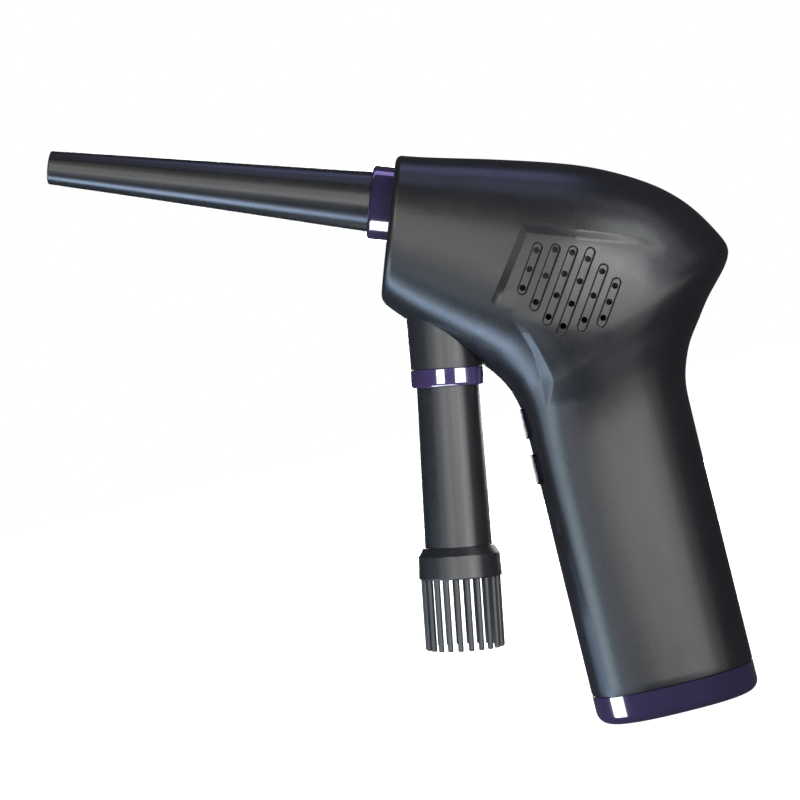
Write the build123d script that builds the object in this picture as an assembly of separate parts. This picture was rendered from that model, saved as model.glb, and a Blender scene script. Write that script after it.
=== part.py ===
from build123d import *
import math
import os
import numpy as np

# Pistol-shaped cordless duster with a long blow nozzle and a brush tool.
# Frame: origin at the centre of the flat foot of the grip, +Z up along the grip,
# the nozzle points to -X and rises 20 degrees, Y is across the width.
# All lengths in millimetres.

# ---------------------------------------------------------------- driving dimensions
BARREL_PITCH = 20.0        # rise of the barrel and nozzle axis
TUBE_LEAN = 10.0           # forward lean of the brush tube axis
WALL = 2.2                 # casing wall
GRIP_A, GRIP_B, GRIP_N = 22.7, 18.5, 2.5   # grip section half depth, half width, squareness
CAP_H = 8.0                # height of the foot cap
CASING_Z0 = 8.1            # lower edge of the casing
CAP_ROUND = 2.8            # bottom edge round of the foot cap

FACE_P = 94.2              # front face, measured along the barrel
FACE_ROUND = 1.8           # edge round of the front face
NOZ_Q = 129.5              # nozzle axis, measured across the barrel
COLLAR_R, COLLAR_P1 = 10.3, 100.2
NOZ_R0, NOZ_R1, NOZ_P1 = 8.45, 4.65, 189.6
SPIGOT_R, SOCKET_R = 7.45, 7.52
SPIGOT_LEN = 18.0
TIP_BORE = 3.3

TUBE_X0, TUBE_Z0 = -41.10, 100.97          # centre of the spout collar's lower face
RING_R, RING_H = 10.2, 5.0
STUB_R0, STUB_R1 = 10.0, 10.5
TUBE_R0, TUBE_R1, TUBE_LEN = 8.75, 9.4, 44.0
SEAT_DEPTH = 0.7           # how far each tool's shoulder sinks into its collar
HEAD_R0, HEAD_R1, HEAD_H = 11.35, 11.6, 8.7
BRISTLE_N, BRISTLE_R, BRISTLE_PITCH, BRISTLE_LEN = 22, 0.82, 10.25, 19.7

FAN_Q, FAN_R, FAN_WALL = 119.0, 17.5, 1.2
FAN_P0, FAN_P1 = 22.0, 60.0

BUTTON_W, BUTTON_L, BUTTON_X = 13.0, 8.7, -23.6
BUTTON_Z = (85.9, 72.95)
BUTTON_TRAVEL = 0.8

CELL_R, CELL_Y, CELL_X, CELL_Z0, CELL_Z1 = 9.2, -3.0, 9.4, 14.05, 63.95

# casing sections: underside x, z; top or rear x, z; half width; squareness
SECTIONS = [
    (-53.50, 128.45, -39.60, 166.60, 19.2, 2.25),
    (-49.60, 123.85, -34.70, 164.95, 19.8, 2.25),
    (-45.60, 119.70, -26.50, 162.55, 20.8, 2.27),
    (-41.60, 115.80, -17.00, 159.90, 22.0, 2.30),
    (-38.00, 112.30, -7.50, 157.10, 23.2, 2.30),
    (-34.80, 109.20, 2.00, 154.10, 24.3, 2.30),
    (-32.00, 106.50, 11.50, 150.50, 25.2, 2.30),
    (-29.80, 104.20, 20.00, 146.20, 25.8, 2.30),
    (-28.10, 102.10, 27.50, 141.40, 26.0, 2.30),
    (-26.75, 100.20, 33.60, 136.00, 26.0, 2.30),
    (-25.65, 98.40, 38.20, 130.10, 25.8, 2.30),
    (-24.80, 96.70, 41.40, 124.60, 25.4, 2.30),
    (-24.15, 95.10, 43.20, 119.60, 24.9, 2.30),
    (-23.70, 93.50, 41.90, 116.00, 24.3, 2.30),
    (-23.30, 92.00, 38.60, 112.00, 23.6, 2.32),
    (-23.00, 90.30, 34.40, 107.40, 22.7, 2.35),
    (-22.82, 88.30, 30.70, 102.40, 21.8, 2.38),
    (-22.74, 86.00, 27.20, 97.50, 20.9, 2.41),
    (-22.70, 83.00, 24.80, 92.50, 20.1, 2.44),
    (-22.70, 79.00, 23.20, 87.00, 19.4, 2.47),
    (-22.70, 73.50, 22.75, 80.00, 18.9, 2.50),
    (-22.70, 65.00, 22.70, 69.00, 18.6, 2.50),
    (-22.70, 52.00, 22.70, 53.00, 18.5, 2.50),
    (-22.70, 30.00, 22.70, 30.00, 18.5, 2.50),
    (-22.70, CASING_Z0, 22.70, CASING_Z0, 18.5, 2.50),
    (-22.70, CASING_Z0 - 6, 22.70, CASING_Z0 - 6, 18.5, 2.50),     # run-out of the cavity only
]

# side vents in barrel coordinates: centre p, q, overall length, hole count, hole spacing, hole shift
VENTS = [
    (55.24, 114.30, 14.9, 3, 5.35, -0.1),
    (50.97, 112.35, 19.1, 3, 7.45, 0.5),
    (46.70, 110.60, 22.6, 4, 6.10, 0.3),
    (42.35, 109.40, 25.3, 4, 6.35, -0.2),
    (37.75, 108.30, 19.3, 3, 6.90, 0.6),
    (33.30, 107.50, 14.1, 3, 4.55, 0.2),
]
VENT_LEAN, VENT_W, VENT_DEPTH, HOLE_R = 14.0, 2.7, 0.7, 0.88

# ---------------------------------------------------------------- frames
cb, sb = math.cos(math.radians(BARREL_PITCH)), math.sin(math.radians(BARREL_PITCH))
ct, st = math.cos(math.radians(TUBE_LEAN)), math.sin(math.radians(TUBE_LEAN))


def B(p, q, y=0.0):
    """Barrel coordinates (along, across, width) to the part frame."""
    return (-cb * p + sb * q, y, sb * p + cb * q)


BDIR = (-cb, 0, sb)
TUP = (st, 0, ct)
NOZ = Plane(origin=B(0, NOZ_Q), x_dir=(0, 1, 0), z_dir=BDIR)
FAN = Plane(origin=B(0, FAN_Q), x_dir=(0, 1, 0), z_dir=BDIR)
TUB = Plane(origin=(TUBE_X0, 0, TUBE_Z0), x_dir=(0, 1, 0), z_dir=TUP)


def put(plane, shape):
    return plane.location * shape


# ---------------------------------------------------------------- helpers
def spline_fit(t, v):
    """Natural cubic spline through (t, v); returns an evaluator."""
    t = np.asarray(t, float)
    v = np.asarray(v, float)
    n = len(t)
    h = np.diff(t)
    A = np.zeros((n, n))
    r = np.zeros(n)
    A[0, 0] = A[-1, -1] = 1
    for i in range(1, n - 1):
        A[i, i - 1], A[i, i], A[i, i + 1] = h[i - 1], 2 * (h[i - 1] + h[i]), h[i]
        r[i] = 6 * ((v[i + 1] - v[i]) / h[i] - (v[i] - v[i - 1]) / h[i - 1])
    m = np.linalg.solve(A, r)

    def f(x):
        x = np.asarray(x, float)
        i = np.clip(np.searchsorted(t, x) - 1, 0, n - 2)
        a, b = t[i + 1] - x, x - t[i]
        return (m[i] * a**3 + m[i + 1] * b**3) / (6 * h[i]) + (v[i] / h[i] - m[i] * h[i] / 6) * a + (
            v[i + 1] / h[i] - m[i + 1] * h[i] / 6) * b
    return f


S = np.array(SECTIONS)
step = 0.5 * (np.hypot(np.diff(S[:, 0]), np.diff(S[:, 1])) + np.hypot(np.diff(S[:, 2]), np.diff(S[:, 3])))
T = np.concatenate([[0], np.cumsum(step)])
FIT = [spline_fit(T, S[:, k]) for k in range(6)]


def section(t, inset=0.0):
    """Section frame at t: centre, in-plane direction, half length, half width, squareness."""
    e = 1e-3
    ix, iz, ox, oz, b, n = [float(f(t)) for f in FIT]
    d = np.array([ox - ix, oz - iz])
    L = np.hypot(*d)
    u = d / L
    if inset:
        def oblique(kx, kz):
            g = np.array([float(FIT[kx](t + e)) - float(FIT[kx](t - e)), float(FIT[kz](t + e)) - float(FIT[kz](t - e))])
            g /= np.hypot(*g)
            return max(0.5, abs(u[0] * g[1] - u[1] * g[0]))
        wi, wo = inset / oblique(0, 1), inset / oblique(2, 3)
        ix, iz = ix + u[0] * wi, iz + u[1] * wi
        ox, oz = ox - u[0] * wo, oz - u[1] * wo
        b -= inset
        L = math.hypot(ox - ix, oz - iz)
    return np.array([(ix + ox) / 2, (iz + oz) / 2]), u, L / 2, b, n


def section_wire(t, inset=0.0, count=12):
    """Closed section of two splines that meet on the parting plane."""
    c, u, a, b, n = section(t, inset)

    def pt(f):
        r = (abs(math.cos(f) / a) ** n + abs(math.sin(f) / b) ** n) ** (-1 / n)
        s, y = r * math.cos(f), r * math.sin(f)
        return Vector(c[0] + u[0] * s, y, c[1] + u[1] * s)

    one = [pt(math.pi * k / count) for k in range(count + 1)]
    two = [pt(math.pi + math.pi * k / count) for k in range(count + 1)]
    two[0], two[-1] = one[-1], one[0]
    across = Vector(0, 1, 0)
    return Wire([
        Edge.make_spline(one, tangents=[across, across * -1]),
        Edge.make_spline(two, tangents=[across * -1, across])])


def half_wire(t, inset=0.0, y0=0.0, count=6):
    """Section beyond y = y0 only, closed by a straight chord."""
    c, u, a, b, n = section(t, inset)

    def pt(f):
        r = (abs(math.cos(f) / a) ** n + abs(math.sin(f) / b) ** n) ** (-1 / n)
        return r * math.cos(f), r * math.sin(f)

    lo, hi = -0.5, 0.5
    for _ in range(50):
        m = (lo + hi) / 2
        lo, hi = (m, hi) if pt(m)[1] < y0 else (lo, m)
    arc = [pt(lo + (math.pi - 2 * lo) * k / count) for k in range(count + 1)]
    v = [Vector(c[0] + u[0] * q, y, c[1] + u[1] * q) for q, y in arc]
    return Wire([Edge.make_spline(v), Edge.make_line(v[-1], v[0])])


def body_loft(ts, inset=0.0):
    return Solid.make_loft([section_wire(t, inset) for t in ts])


def half_loft(ts, inset=0.0, y0=0.0):
    return Part() + Solid.make_loft([half_wire(t, inset, y0) for t in ts])


def surface_y(x, z, inset=0.0):
    """Half width of the casing surface over the point (x, z)."""
    best, bt = 1e9, None
    for t in np.linspace(0, T[-1], 1500):
        c, u, a, b, n = section(t)
        d = abs((x - c[0]) * -u[1] + (z - c[1]) * u[0])
        s = ((x - c[0]) * u[0] + (z - c[1]) * u[1]) / a
        if d < best and abs(s) < 1:
            best, bt = d, t
    c, u, a, b, n = section(bt, inset)
    s = ((x - c[0]) * u[0] + (z - c[1]) * u[1]) / a
    return b * max(0.0, 1 - abs(s) ** n) ** (1 / n)


def rpoly(pts):
    """Closed face in XZ from (r, z) or (r, z, round) corners."""
    n = len(pts)
    start, end, arcs = [], [], []
    for i in range(n):
        p = np.array(pts[i][:2], float)
        rad = pts[i][2] if len(pts[i]) > 2 else 0.0
        if rad <= 0:
            start.append(p), end.append(p), arcs.append(None)
            continue
        a = np.array(pts[i - 1][:2], float) - p
        b = np.array(pts[(i + 1) % n][:2], float) - p
        a /= np.hypot(*a)
        b /= np.hypot(*b)
        half = math.acos(max(-1, min(1, float(a @ b)))) / 2
        tl = rad / math.tan(half)
        m = (a + b) / np.hypot(*(a + b))
        ctr = p + m * rad / math.sin(half)
        start.append(p + a * tl), end.append(p + b * tl), arcs.append(ctr - m * rad)
    edges = []
    v = lambda q: Vector(float(q[0]), 0, float(q[1]))
    for i in range(n):
        if arcs[i] is not None:
            edges.append(Edge.make_three_point_arc(v(start[i]), v(arcs[i]), v(end[i])))
        j = (i + 1) % n
        if np.hypot(*(start[j] - end[i])) > 1e-6:
            edges.append(Edge.make_line(v(end[i]), v(start[j])))
    return Face(Wire(edges))


def rev(pts):
    return revolve(rpoly(pts), axis=Axis.Z)


def cyl(plane, r, z0, z1):
    return put(plane, Pos(0, 0, (z0 + z1) / 2) * Cylinder(r, z1 - z0))


def ycyl(x, z, r, y0, y1):
    return Pos(x, (y0 + y1) / 2, z) * Rot(90, 0, 0) * Cylinder(r, abs(y1 - y0))


def box(x0, x1, y0, y1, z0, z1):
    return Pos((x0 + x1) / 2, (y0 + y1) / 2, (z0 + z1) / 2) * Box(x1 - x0, y1 - y0, z1 - z0)


def grip_prism(inset, z0, z1):
    """Straight prism of the grip section."""
    a, b = GRIP_A - inset, GRIP_B - inset
    pts = []
    for k in range(36):
        f = 2 * math.pi * k / 36
        r = (abs(math.cos(f) / a) ** GRIP_N + abs(math.sin(f) / b) ** GRIP_N) ** (-1 / GRIP_N)
        pts.append(Vector(r * math.cos(f), r * math.sin(f), z0))
    return extrude(Face(Wire([Edge.make_spline(pts, periodic=True)])), amount=z1 - z0, dir=(0, 0, 1))


def wire_run(points, radii, r):
    """Round wire along straight runs joined by tangent arcs."""
    path = FilletPolyline(*points, radius=radii)
    p0, p1 = Vector(*points[0]), Vector(*points[1])
    return sweep(Plane(origin=p0, z_dir=(p1 - p0)) * Circle(r), path=path)


def solids(shape):
    out = shape.solids()
    return out[0] if len(out) == 1 else Compound(list(out))


parts = {}

# ---------------------------------------------------------------- casing halves
PART_GAP = 0.03            # half of the parting gap
per_p = T[1] / (FACE_P - (-cb * S[1, 0] + sb * S[1, 1]))      # section parameter per millimetre behind the face
t_nose = FACE_ROUND * per_p
body_ts = np.linspace(t_nose, T[-2], 20)
outer = half_loft(body_ts, 0.0, PART_GAP)
# rounded rim of the front face
k3 = FACE_ROUND * (1 - math.cos(math.radians(45)))
rims = [half_wire(t, i, PART_GAP) for t, i in ((t_nose, 0.0), (k3 * per_p, k3), (0.0, FACE_ROUND))]
outer = outer + (Part() + Solid.make_loft(rims, ruled=True))

# the cavity starts one wall behind the front face and runs out of the open lower end
t_in = (WALL + 0.4) * per_p
inner_ts = np.linspace(t_in, T[-1], 20)
hollow = half_loft(inner_ts, WALL, -1.0)

keep = []
# rings that carry the fan's rubber mounts
for p0, p1 in ((24.0, 27.0), (58.0, 60.4)):
    keep.append(cyl(FAN, 26.5, p0, p1) - cyl(FAN, 19.45, p0 - 1, p1 + 1))
# shelves that hold the battery trays
for z0, z1 in ((11.2, 11.95), (66.1, 66.9)):
    keep.append(grip_prism(-3.0, z0, z1) - grip_prism(6.0, z0 - 1, z1 + 1))
# rails that hold the switch board edges
for z0, z1 in ((67.1, 68.4), (91.6, 95.0)):
    keep.append(box(-16.4, -11.2, 5.6, 30, z0, z1) - box(-14.45, -13.15, 0, 6.6, 60, 94.0))
# screw bosses across the parting plane
BOSSES = [B(8.5, 121.5), (10.0, 0, 97.0), (-21.8, 0, 110.0), (8.0, 0, 72.5)]
seat_y = []
for x, _, z in BOSSES:
    seat_y.append(surface_y(x, z) - 3.4)
    keep.append(ycyl(x, z, 3.1, PART_GAP, 40))
for k in keep:
    hollow = hollow - k
# posts for the control board on the right half
BOARD_Z = (13.0, 66.0)
POSTS = ((0.0, 20.0), (0.0, 58.0))
hollow_right = hollow
for x, z in POSTS:
    hollow_right = hollow_right - ycyl(x, z, 2.3, 9.3, 40.0)

# openings shared by both halves
cuts = [cyl(NOZ, 9.15, 86, 104), cyl(TUB, 10.75, -3, 27)]
for zc in BUTTON_Z:
    w = BUTTON_W + 0.3
    h = BUTTON_L + 0.3
    cuts.append(Pos(-23.5, 0, zc) * Rot(0, 90, 0) * extrude(RectangleRounded(h, w, 2.1), 5, both=True))

# vent slots and holes
skin = half_loft(body_ts, VENT_DEPTH, -1.0)
vl = math.radians(VENT_LEAN)
up = (-math.sin(vl), math.cos(vl))
slots, holes = [], []
for p, q, L, nh, sp, sh in VENTS:
    x, _, z = B(p, q)
    x1, _, z1 = B(p + up[0], q + up[1])
    ang = math.degrees(math.atan2(x1 - x, z1 - z))
    slot = Pos(x, 25, z) * Rot(0, ang, 0) * Rot(90, 0, 0) * Rot(0, 0, 90) * extrude(SlotOverall(L, VENT_W), 9, both=True)
    slots.append(slot - skin)
    for k in range(nh):
        s = (k - (nh - 1) / 2) * sp + sh
        x, _, z = B(p + up[0] * s, q + up[1] * s)
        holes.append(ycyl(x, z, HOLE_R, 17, 32))

halves = []
for space in (hollow, hollow_right):
    shell = outer - space
    for c in cuts:
        shell = shell - c
    shell = shell - slots
    shell = shell - holes
    halves.append(shell)
left = mirror(halves[0], about=Plane.XZ)
right = halves[1]
left = left - [ycyl(x, z, 1.28, -9.5, 1) for x, _, z in BOSSES]
right = right - [ycyl(x, z, 1.4, -1, 40) for x, _, z in BOSSES]
right = right - [ycyl(x, z, 2.6, ys, 40) for (x, _, z), ys in zip(BOSSES, seat_y)]
right = right - [ycyl(x, z, 0.92, 8, 14.2) for x, z in POSTS]
parts["casing_left"] = left
parts["casing_right"] = right

screws = []
for (x, _, z), ys in zip(BOSSES, seat_y):
    head = ycyl(x, z, 2.4, ys, ys + 1.8) - (Pos(x, ys + 1.8, z) * Rot(90, 0, 0) * Box(3.2, 0.8, 1.6)) - (
        Pos(x, ys + 1.8, z) * Rot(90, 0, 0) * Box(0.8, 3.2, 1.6))
    screws.append(head + ycyl(x, z, 1.22, -8.8, ys))
parts["casing_screws"] = Compound([solids(s) for s in screws])

# ---------------------------------------------------------------- foot cap
cap = grip_prism(0, 0, CAP_H)
bottom = [e for e in cap.edges() if abs(e.center().Z) < 1e-3]
cap = fillet(bottom, CAP_ROUND)
cap = cap - grip_prism(WALL, 2.0, CAP_H + 1)
cap = cap + (grip_prism(WALL - 0.4, CAP_H - 1.4, CAP_H - 0.02) - grip_prism(WALL + 1.4, CAP_H - 2, 12))
cap = cap + (grip_prism(WALL + 0.35, CAP_H - 1.0, 11.0) - grip_prism(WALL + 1.4, CAP_H - 2, 12))
cap = cap - (Pos(20, 0, 4.85) * Rot(0, 90, 0) * extrude(RectangleRounded(3.5, 9.3, 1.6), 5, both=True))
parts["base_cap"] = cap

# ---------------------------------------------------------------- blow nozzle and its collar
parts["front_collar"] = put(NOZ, rev([
    (9.06, FACE_P + 0.08), (COLLAR_R, FACE_P + 0.08), (COLLAR_R, COLLAR_P1, 1.0),
    (NOZ_R0 + 0.2, COLLAR_P1), (NOZ_R0 + 0.2, COLLAR_P1 - SEAT_DEPTH), (SOCKET_R, COLLAR_P1 - SEAT_DEPTH),
    (SOCKET_R, 98.6), (9.06, 98.6)]))

p0 = COLLAR_P1 - SEAT_DEPTH + 0.15
ps = COLLAR_P1 + 0.15 - SPIGOT_LEN
nozzle = rev([
    (6.0, ps), (SPIGOT_R, ps, 0.4), (SPIGOT_R, ps + 4.0), (6.7, ps + 4.0), (6.7, ps + 5.6), (SPIGOT_R, ps + 5.6),
    (SPIGOT_R, p0), (NOZ_R0, p0, 0.3), (NOZ_R1, NOZ_P1, 0.5), (TIP_BORE, NOZ_P1, 0.4), (TIP_BORE, 177.0), (6.0, 103.0)])
parts["nozzle"] = put(NOZ, nozzle)
parts["nozzle_seal"] = put(NOZ, Pos(0, 0, ps + 4.8) * Torus(7.1, 0.39))

# ---------------------------------------------------------------- spout, collar and brush tool
reach = 27.0
flange_ts = np.linspace(t_in, T[11], 14)
flange_in = Part(body_loft(flange_ts, WALL + 0.9).wrapped)
flange_top = Part(body_loft(flange_ts, WALL + 2.6).wrapped)
plug = put(TUB, rev([
    (0, 2.0), (9.0, 2.0), (9.0, RING_H + 0.08), (STUB_R0, RING_H + 0.08), (STUB_R1, reach), (0, reach)]))
disc = cyl(TUB, 12.6, 2, 34) - (cyl(TUB, 14.5, 0, 36) - flange_in)
spout = plug + disc - flange_top - cyl(TUB, SOCKET_R, -5, 40)
parts["inlet_spout"] = spout
parts["spout_collar"] = put(TUB, rev([
    (SOCKET_R, SEAT_DEPTH), (TUBE_R0 + 0.2, SEAT_DEPTH), (TUBE_R0 + 0.2, 0), (RING_R, 0, 0.8), (RING_R, RING_H, 0.3),
    (9.06, RING_H), (9.06, 1.9), (SOCKET_R, 1.9)]))

w0, w1 = SEAT_DEPTH - 0.15, -0.2 - TUBE_LEN
tube = rev([
    (6.0, 15.0), (6.0, w1 - 6.0), (8.1, w1 - 6.0, 0.3), (8.1, w1), (TUBE_R1, w1), (TUBE_R0, w0), (SPIGOT_R, w0),
    (SPIGOT_R, 9.6), (6.7, 9.6), (6.7, 11.2), (SPIGOT_R, 11.2), (SPIGOT_R, 15.0, 0.4)])
key = Pos(0, 0, w1 + 1.5) * Box(19.6, 1.5, 3.0)
key = key - Pos(0, 0, w1 + 1.5) * Cylinder(9.0, 6)
parts["brush_tube"] = put(TUB, tube + key)
parts["tube_seal"] = put(TUB, Pos(0, 0, 10.4) * Torus(7.1, 0.39))

h0 = w1 - 0.08
h1 = h0 - HEAD_H
head = rev([
    (8.15, h0), (9.9, h0, 0.3), (HEAD_R0, h0 - 2.3, 0.5), (HEAD_R1, h1, 0.4), (6.2, h1, 0.3), (6.2, h0 - 6.2), (8.15, h0 - 6.2)])
parts["brush_head"] = put(TUB, head)
rods = []
for k in range(BRISTLE_N):
    f = 2 * math.pi * (k + 0.5) / BRISTLE_N
    rod = rev([(0, h1), (BRISTLE_R, h1), (BRISTLE_R * 0.92, h1 - BRISTLE_LEN, 0.35), (0, h1 - BRISTLE_LEN)])
    rods.append(put(TUB, Pos(BRISTLE_PITCH * math.cos(f), BRISTLE_PITCH * math.sin(f), 0) * rod))
parts["bristles"] = Compound([solids(r) for r in rods])

# ---------------------------------------------------------------- blow duct
duct_out = Solid.make_loft([
    put(FAN, Pos(0, 0, 60.7) * Circle(FAN_R - 0.05)).wire(),
    put(NOZ, Pos(0, 0, 80.0) * Circle(9.0)).wire()], ruled=True)
duct_in = Solid.make_loft([
    put(FAN, Pos(0, 0, 60.7) * Circle(FAN_R - 1.4)).wire(),
    put(NOZ, Pos(0, 0, 80.0) * Circle(SOCKET_R)).wire()], ruled=True)
duct = (Part(duct_out.wrapped) - Part(duct_in.wrapped)) + (cyl(NOZ, 9.0, 80.0, 98.5) - cyl(NOZ, SOCKET_R, 79.0, 99.0))
parts["blow_duct"] = duct
parts["duct_gasket"] = put(FAN, rev([(15.9, FAN_P1 + 0.02), (FAN_R, FAN_P1 + 0.02), (FAN_R, 60.68), (15.9, 60.68)]))

# ---------------------------------------------------------------- fan and motor
ri = FAN_R - FAN_WALL
housing = rev([(ri, FAN_P0), (FAN_R, FAN_P0), (FAN_R, FAN_P1), (ri, FAN_P1)])
housing = housing + rev([(10.55, 39.0), (11.6, 39.0, 0.4), (11.6, 56.0, 0.4), (10.55, 56.0)])
for k in range(7):
    vane = Rot(0, 0, 360 * k / 7) * (Pos((11.2 + ri) / 2 + 0.3, 0, 49.0) * Rot(8, 0, 0) * Box(ri - 11.2 + 0.8, 1.1, 16))
    housing = housing + (vane & rev([(11.0, 38), (ri + 0.4, 38), (ri + 0.4, 59), (11.0, 59)]))
LEADS = (44.0, 46.5, 49.0)
housing = put(FAN, housing)
for p in LEADS:
    a = B(p, FAN_Q - 9)
    housing = housing - put(Plane(origin=a, x_dir=(0, 1, 0), z_dir=(-sb, 0, -cb)), Pos(0, 0, 6) * Cylinder(0.95, 12))
parts["fan_housing"] = housing
parts["inlet_bell"] = put(FAN, rev([
    (ri, 21.95), (FAN_R, 21.95), (FAN_R, 19.0), (17.9, 18.2, 0.3), (17.9, 17.1), (17.0, 17.1, 0.8), (ri, 19.6)]))
screen = rev([(15.6, 16.0), (17.6, 16.0), (17.6, 17.05), (15.6, 17.05)])
for r in (4.0, 7.0, 10.0, 13.0):
    screen = screen + rev([(r, 16.2), (r + 0.8, 16.2), (r + 0.8, 17.0), (r, 17.0)])
screen = screen + Pos(0, 0, 16.6) * Cylinder(2.0, 0.8)
for k in range(4):
    screen = screen + Pos(0, 0, 16.6) * Rot(0, 0, 45 * k) * Box(32.4, 0.9, 0.8)
parts["inlet_screen"] = put(FAN, screen)

hub = rev([(1.5, 23.4), (4.6, 23.4, 1.2), (6.6, 29.0, 2.0), (6.6, 32.0), (1.5, 32.0)])
blades = hub
annulus = rev([(5.2, 23.8), (15.8, 23.8), (15.8, 31.6), (5.2, 31.6)])
for k in range(9):
    blade = Rot(0, 0, 40 * k) * (Pos(10.5, 0, 27.7) * Rot(38, 0, 0) * Box(12.0, 1.0, 13))
    blades = blades + (blade & annulus)
parts["impeller"] = put(FAN, blades)
parts["rotor_shaft"] = put(FAN, rev([(0, 23.0), (1.5, 23.0, 0.3), (1.5, 57.4, 0.3), (0, 57.4)]))
parts["rotor_magnet"] = put(FAN, rev([(1.5, 41.0), (4.6, 41.0, 0.3), (4.6, 50.0, 0.3), (1.5, 50.0)]))
parts["motor_can"] = put(FAN, rev([
    (3.52, 34.0), (10.5, 34.0, 0.8), (10.5, 57.0), (9.6, 57.0), (9.6, 37.0), (3.52, 37.0)]))
parts["motor_end_cap"] = put(FAN, rev([(3.52, 54.0), (9.57, 54.0), (9.57, 57.0, 0.4), (3.52, 57.0)]))
bear = [put(FAN, rev([(1.53, z), (3.5, z), (3.5, z + 3.0), (1.53, z + 3.0)])) for z in (34.0, 54.0)]
parts["motor_bearings"] = Compound([solids(b) for b in bear])
core = rev([(7.4, 41.5), (9.57, 41.5), (9.57, 49.5), (7.4, 49.5)])
coils = []
for k in range(6):
    tooth = Rot(0, 0, 60 * k) * (Pos(6.5, 0, 45.5) * Box(2.6, 2.4, 8.0))
    core = core + (tooth & rev([(5.2, 41), (8, 41), (8, 50), (5.2, 50)]))
    coil = Rot(0, 0, 60 * k) * (Pos(6.25, 0, 45.5) * (Box(1.4, 4.4, 10.4) - Box(4, 2.5, 8.1)))
    coils.append(put(FAN, coil))
parts["stator_core"] = put(FAN, core)
parts["stator_coils"] = Compound([solids(c) for c in coils])
rings = [put(FAN, rev([(FAN_R + 0.03, z, 0.4), (19.4, z, 0.6), (19.4, z + h, 0.6), (FAN_R + 0.03, z + h, 0.4)]))
         for z, h in ((24.05, 2.9), (57.95, 2.0))]
parts["mount_rings"] = Compound([solids(r) for r in rings])

# ---------------------------------------------------------------- keys and switches
for name, zc in zip(("upper", "lower"), BUTTON_Z):
    pad = Pos(-21.5, 0, zc) * Rot(0, 90, 0) * extrude(RectangleRounded(BUTTON_L, BUTTON_W, 2.0), 2.2, both=True)
    pad = pad & (Pos(BUTTON_X + 35, 0, zc) * Cylinder(35, 30))
    front = [e for e in pad.edges() if e.center().X < -22.6 and e.bounding_box().max.X < -21.5]
    pad = fillet(front, 0.55)
    pad = pad + box(-19.4, -18.5, -6.9, 6.9, zc - 5.0, zc + 5.0)
    pad = pad & box(-30, -18.5, -20, 20, 0, 200)
    parts[name + "_button"] = pad
    parts[name + "_plunger"] = Pos(-17.25, 0, zc) * Rot(0, 90, 0) * Cylinder(1.6, 2.5)
bodies = [box(-17.4, -14.42, -3, 3, z - 3, z + 3) - (Pos(-16.2, 0, z) * Rot(0, 90, 0) * Cylinder(1.67, 2.42)) for z in BUTTON_Z]
parts["switch_bodies"] = Compound([solids(b) for b in bodies])
parts["switch_board"] = box(-14.4, -13.2, -6.5, 6.5, 66.2, 93.8)

# ---------------------------------------------------------------- battery pack and boards
cells = [Pos(sx * CELL_X, CELL_Y, 0) * rev([
    (0, CELL_Z0), (CELL_R, CELL_Z0, 0.8), (CELL_R, CELL_Z1, 0.8), (0, CELL_Z1)]) for sx in (-1, 1)]
parts["battery_cells"] = Compound([solids(c) for c in cells])
trays = []
for z0, z1, c0, c1 in ((12.0, 16.5, 13.8, 20), (61.5, 66.0, 50, 64.2)):
    tray = Pos(0, CELL_Y, z0) * extrude(SlotOverall(38.8, 20.0), z1 - z0)
    for sx in (-1, 1):
        tray = tray - Pos(sx * CELL_X, CELL_Y, (c0 + c1) / 2) * Cylinder(CELL_R + 0.06, c1 - c0)
    if z0 > 50:
        for sx in (-1, 1):
            tray = tray - box(sx * CELL_X - 3.6, sx * CELL_X + 3.6, 0, 12, 61, 64.2)
    else:
        tray = tray - box(-4, 4, CELL_Y - 3.6, CELL_Y + 3.6, 13.8, 20)
    trays.append(tray)
parts["battery_trays"] = Compound([solids(t) for t in trays])
tabs = [box(-13.0, 13.0, CELL_Y - 3.4, CELL_Y + 3.4, 13.8, 14.05)]
for sx in (-1, 1):
    tabs.append(box(sx * CELL_X - 3.4, sx * CELL_X + 3.4, CELL_Y - 4.5, 7.7, 63.95, 64.2))
parts["battery_tabs"] = Compound([solids(t) for t in tabs])
board = box(-11.5, 11.5, 7.7, 9.3, *BOARD_Z)
for x, z in POSTS:
    board = board - ycyl(x, z, 0.95, 7, 10)
parts["control_board"] = board
chips = [box(-9, -4, 9.3, 11.6, 30, 36), box(-9, -4, 9.3, 11.6, 38, 44), box(4, 9, 9.3, 11.6, 30, 36),
         box(-3, 4, 9.3, 10.4, 46, 53), box(5, 10, 9.3, 12.6, 52, 60),
         Pos(5.5, 12.0, 25.5) * Rot(0, 90, 0) * Cylinder(2.6, 8), box(-10, -5, 9.3, 13.0, 50, 58)]
parts["board_parts"] = Compound([solids(c) for c in chips])
bs = [ycyl(x, z, 1.7, 6.7, 7.66) + ycyl(x, z, 0.9, 7.66, 13.6) for x, z in POSTS]
parts["board_screws"] = Compound([solids(s) for s in bs])
parts["charge_board"] = box(1.0, 18.4, -8.0, 8.0, 2.02, 3.22)
sock = extrude(RectangleRounded(3.2, 8.94, 1.5), 7.4) - Pos(0, 0, 1.2) * extrude(RectangleRounded(2.6, 8.34, 1.25), 7.4)
sock = sock + Pos(0, 0, 3.2) * Box(0.7, 6.7, 5.2)
parts["charge_socket"] = Pos(15.0, 0, 4.85) * Rot(0, 90, 0) * sock

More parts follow.
